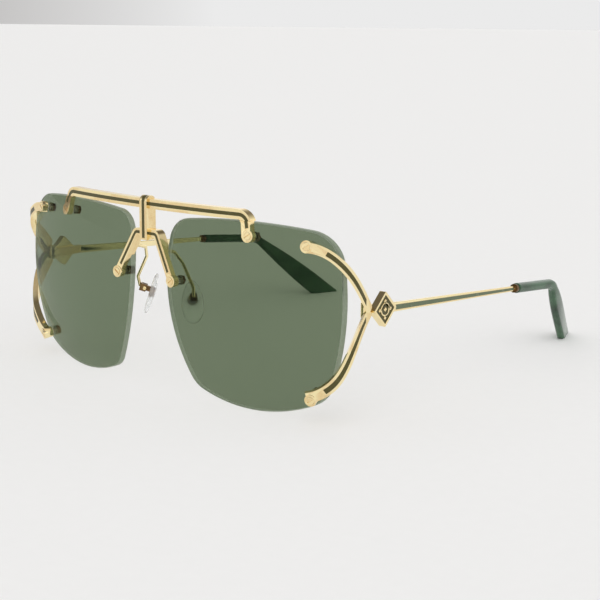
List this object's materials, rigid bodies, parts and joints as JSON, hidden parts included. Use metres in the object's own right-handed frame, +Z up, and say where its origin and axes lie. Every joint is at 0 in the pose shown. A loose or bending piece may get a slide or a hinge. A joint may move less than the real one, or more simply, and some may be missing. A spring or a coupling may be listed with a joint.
{
  "type": "aviator sunglasses",
  "caption": "Rimless squared aviator sunglasses: bowed brow bar and bridge on a centre post, wishbone endpieces, slim hinged temples with bent tips.",
  "frame": {"origin": "bottom centre of the open pair's box: on the surface it stands on, midway between left and right and between front and tips", "axes": "+Z up, -Y is the way the wearer looks, +X is the wearer's left, temples run back along +Y"},
  "size_m": [0.1486, 0.1644, 0.0619],
  "materials": {
    "gold": "polished gold plating",
    "dark_gold": "satin dark gold plating",
    "enamel": "glossy olive enamel",
    "temple_enamel": "glossy green enamel",
    "lens": "green grey tinted, glossy",
    "clear_nylon": "clear nylon",
    "silicone": "clear silicone",
    "acetate": "polished translucent green acetate"
  },
  "bodies": {
    "front": {"brow_bar": "gold", "brow_bar_enamel": "enamel", "centre_post": "gold", "centre_post_enamel": "enamel", "bridge": "gold", "bridge_enamel": "enamel", "endpiece_left": "gold", "endpiece_right": "gold", "endpiece_enamel_left": "enamel", "endpiece_enamel_right": "enamel", "lens_left": "lens", "lens_right": "lens", "lens_screws": "gold", "lens_bushes": "clear_nylon", "lens_washers_front": "clear_nylon", "lens_washers_rear": "clear_nylon", "lens_nuts": "dark_gold", "pad_arm_left": "gold", "pad_arm_right": "gold", "pad_box_left": "dark_gold", "pad_box_right": "dark_gold", "pad_screws": "gold", "hinge_screws": "gold"},
    "left_temple": {"temple_arm_left": "gold", "temple_enamel_left": "temple_enamel", "plaque_left": "gold", "plaque_enamel_left": "enamel", "plaque_motif_left": "gold", "tip_collar_left": "dark_gold", "temple_tip_left": "acetate"},
    "right_temple": {"temple_arm_right": "gold", "temple_enamel_right": "temple_enamel", "plaque_right": "gold", "plaque_enamel_right": "enamel", "plaque_motif_right": "gold", "tip_collar_right": "dark_gold", "temple_tip_right": "acetate"},
    "left_pad": {"nose_pad_left": "silicone", "nose_pad_lug_left": "dark_gold"},
    "right_pad": {"nose_pad_right": "silicone", "nose_pad_lug_right": "dark_gold"}
  },
  "joints": [
    {"name": "left_temple_fold", "type": "hinge", "parent": "front", "child": "left_temple", "pos_m": [0.07, -0.06027, 0.0333], "axis": [0, 0, 1], "range_deg": [0, 85]},
    {"name": "right_temple_fold", "type": "hinge", "parent": "front", "child": "right_temple", "pos_m": [-0.07, -0.06027, 0.0333], "axis": [0, 0, -1], "range_deg": [0, 75]},
    {"name": "left_pad_rock", "type": "hinge", "parent": "front", "child": "left_pad", "pos_m": [0.0112, -0.07107, 0.0302], "axis": [0.6247, 0.7809, 0], "range_deg": [-10, 10]},
    {"name": "right_pad_rock", "type": "hinge", "parent": "front", "child": "right_pad", "pos_m": [-0.0112, -0.07107, 0.0302], "axis": [-0.6247, 0.7809, 0], "range_deg": [-10, 10]}
  ]
}
